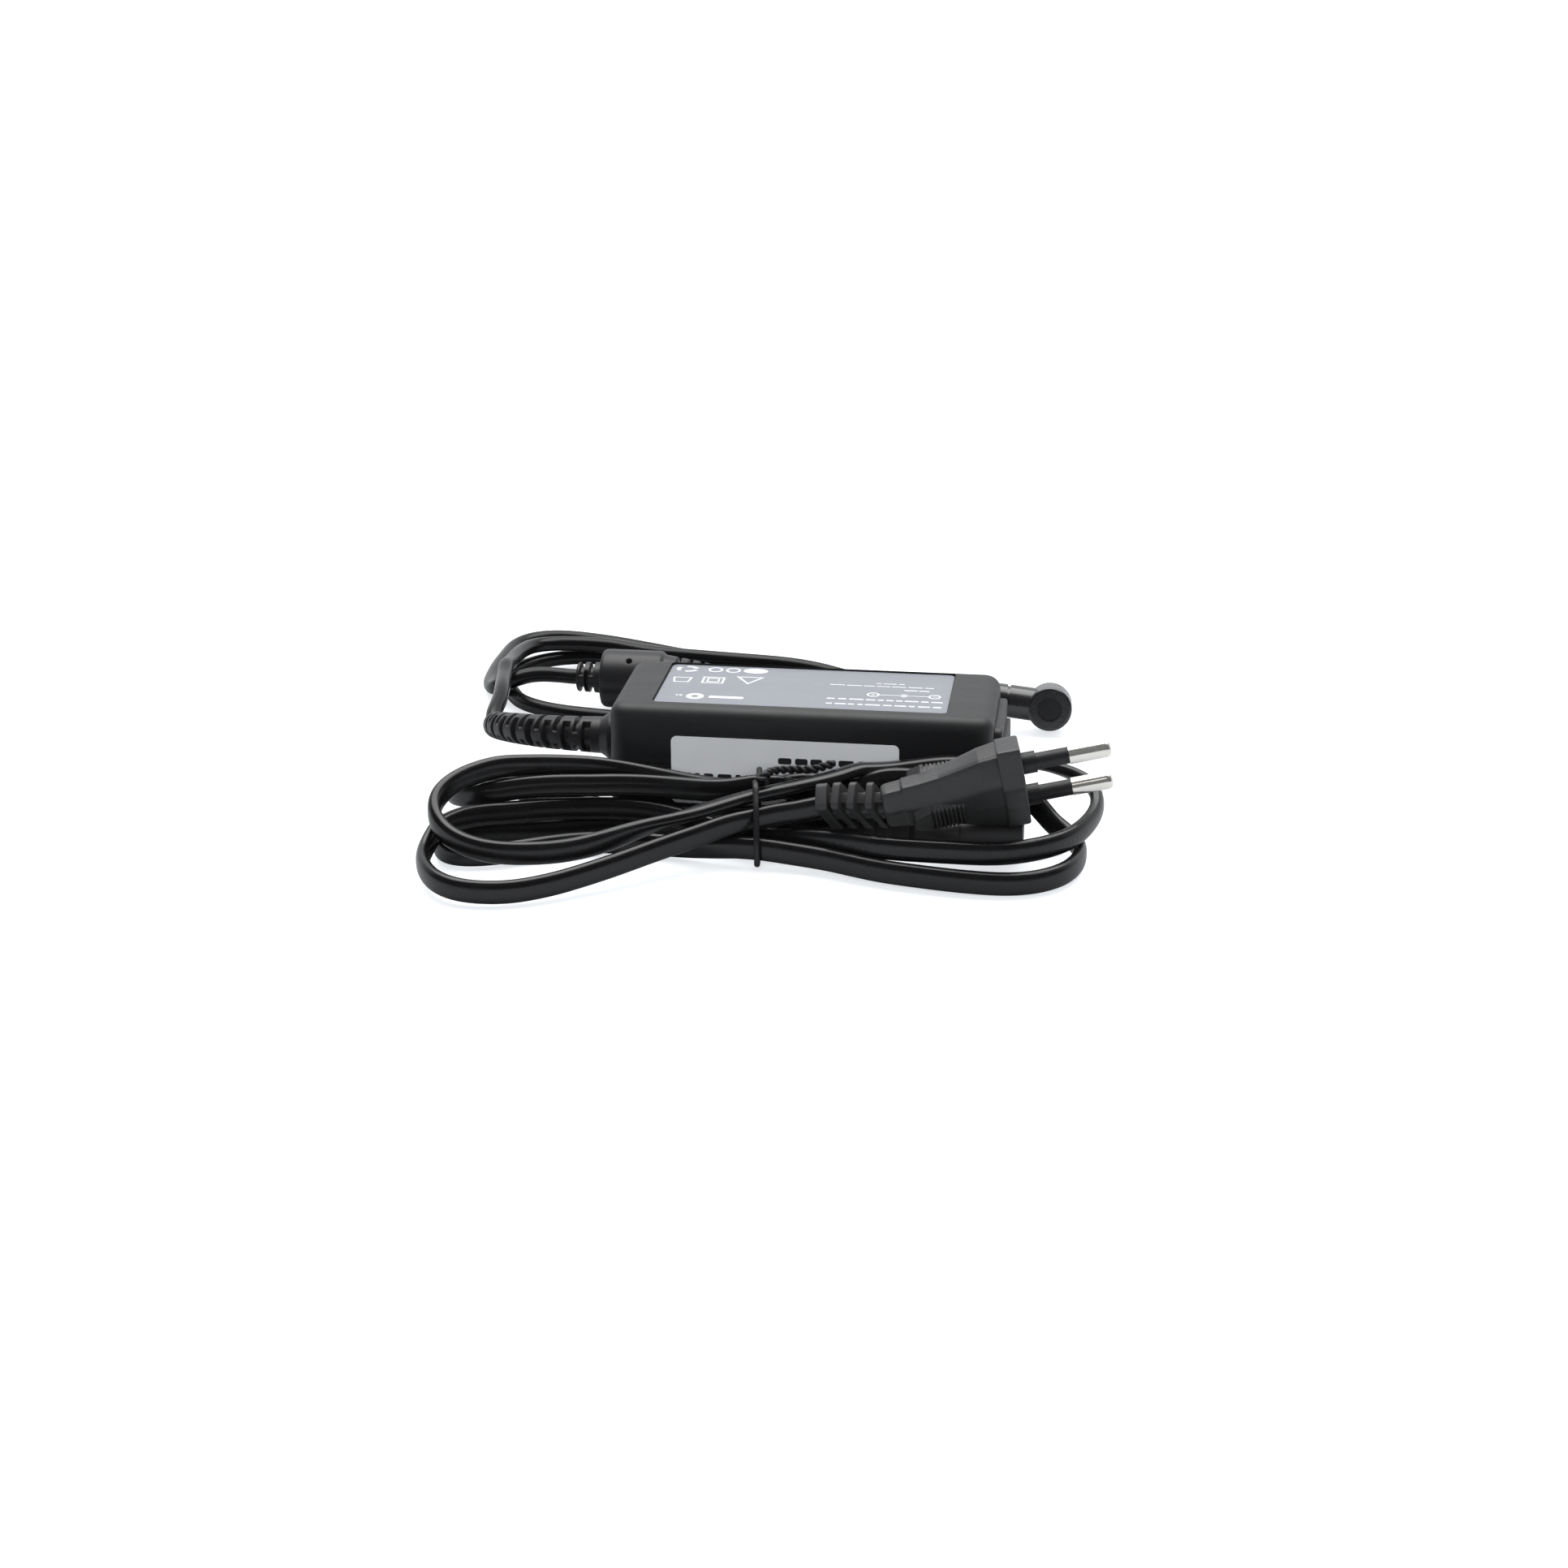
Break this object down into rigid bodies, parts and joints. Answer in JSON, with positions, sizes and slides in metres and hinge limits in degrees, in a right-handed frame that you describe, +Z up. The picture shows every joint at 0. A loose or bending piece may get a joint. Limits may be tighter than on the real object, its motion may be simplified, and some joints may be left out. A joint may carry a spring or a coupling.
{
  "type": "laptop power adapter",
  "caption": "Rectangular mains power adapter with a captive low-voltage lead, right-angle barrel plug and a coiled, tied mains cord with a two-pin wall plug.",
  "frame": {"origin": "centre of the adapter casing's flat underside", "axes": "+X towards the mains inlet, +Z up, out of the label face; +Y away from the coiled mains cord"},
  "size_m": [0.1654, 0.1843, 0.0329],
  "materials": {
    "casing_plastic": "fine textured dark grey, matt",
    "label_film": "blue-grey printed film, satin",
    "sticker_paper": "light grey paper sticker",
    "cable_jacket": "black PVC, glossy",
    "plug_plastic": "dark grey PVC, satin",
    "inlet_plastic": "dark grey, matt",
    "insert_plastic": "black, matt",
    "pin_metal": "nickel-plated brass, polished",
    "brass": "plain",
    "cap_plastic": "milky translucent polythene",
    "tie_wire": "dark grey coated wire",
    "board_laminate": "green solder mask",
    "ferrite": "dark grey ceramic",
    "copper_wire": "enamelled copper",
    "tape_yellow": "yellow tape",
    "component_black": "moulded epoxy",
    "component_yellow": "film capacitor box",
    "component_blue": "lacquer dipped disc",
    "component_green": "lacquer dipped disc",
    "capacitor_sleeve": "shrink sleeve",
    "aluminium_sheet": "plain sheet",
    "steel_screw": "zinc plated",
    "insulation_film": "translucent film",
    "silicone_pad": "grey silicone",
    "lead_red": "insulated wire"
  },
  "bodies": {
    "adapter": {"bottom_shell": "casing_plastic", "top_shell": "casing_plastic", "rating_label": "label_film", "side_sticker": "sticker_paper", "inlet_housing": "inlet_plastic", "inlet_pins": "pin_metal", "inlet_leads": "lead_red", "circuit_board": "board_laminate", "fuse": "component_black", "thermistor": "component_green", "x_capacitor": "component_yellow", "choke_core": "ferrite", "choke_windings": "copper_wire", "bridge_rectifier": "component_black", "bulk_capacitor": "capacitor_sleeve", "primary_heatsink": "aluminium_sheet", "switching_transistor": "component_black", "transformer_core": "ferrite", "transformer_bobbin": "component_black", "transformer_winding": "tape_yellow", "thermal_pad": "silicone_pad", "y_capacitor": "component_blue", "optocoupler": "component_black", "control_chip": "component_black", "output_choke": "ferrite", "output_capacitors": "capacitor_sleeve", "secondary_heatsink": "aluminium_sheet", "output_rectifier": "component_black", "heatsink_screws": "steel_screw", "heat_spreader_lower": "aluminium_sheet", "insulation_sheet": "insulation_film", "heat_spreader_upper": "aluminium_sheet", "dc_leads": "lead_red", "dc_cable": "cable_jacket", "dc_strain_relief": "plug_plastic", "ferrite_overmould": "plug_plastic", "ferrite_core": "ferrite", "dc_plug_body": "plug_plastic", "dc_plug_insert": "insert_plastic", "dc_plug_barrel": "pin_metal", "dc_plug_insulator": "insert_plastic", "dc_plug_contact": "brass"},
    "plug_cap": {"dc_plug_cap": "cap_plastic"},
    "mains_cord": {"mains_cable": "cable_jacket", "wall_plug_body": "plug_plastic", "wall_plug_carrier": "insert_plastic", "wall_plug_pins": "pin_metal", "wall_plug_sleeves": "insert_plastic", "mains_connector_body": "plug_plastic", "mains_connector_contacts": "brass", "cable_tie": "tie_wire"}
  },
  "joints": [
    {"name": "mains_cord_slide", "type": "slide", "parent": "adapter", "child": "mains_cord", "axis": [0, -1, 0], "range_m": [0, 0.15]},
    {"name": "cap_slide", "type": "slide", "parent": "adapter", "child": "plug_cap", "axis": [-0.027, 0.9899, -0.139], "range_m": [0, 0.02]}
  ]
}
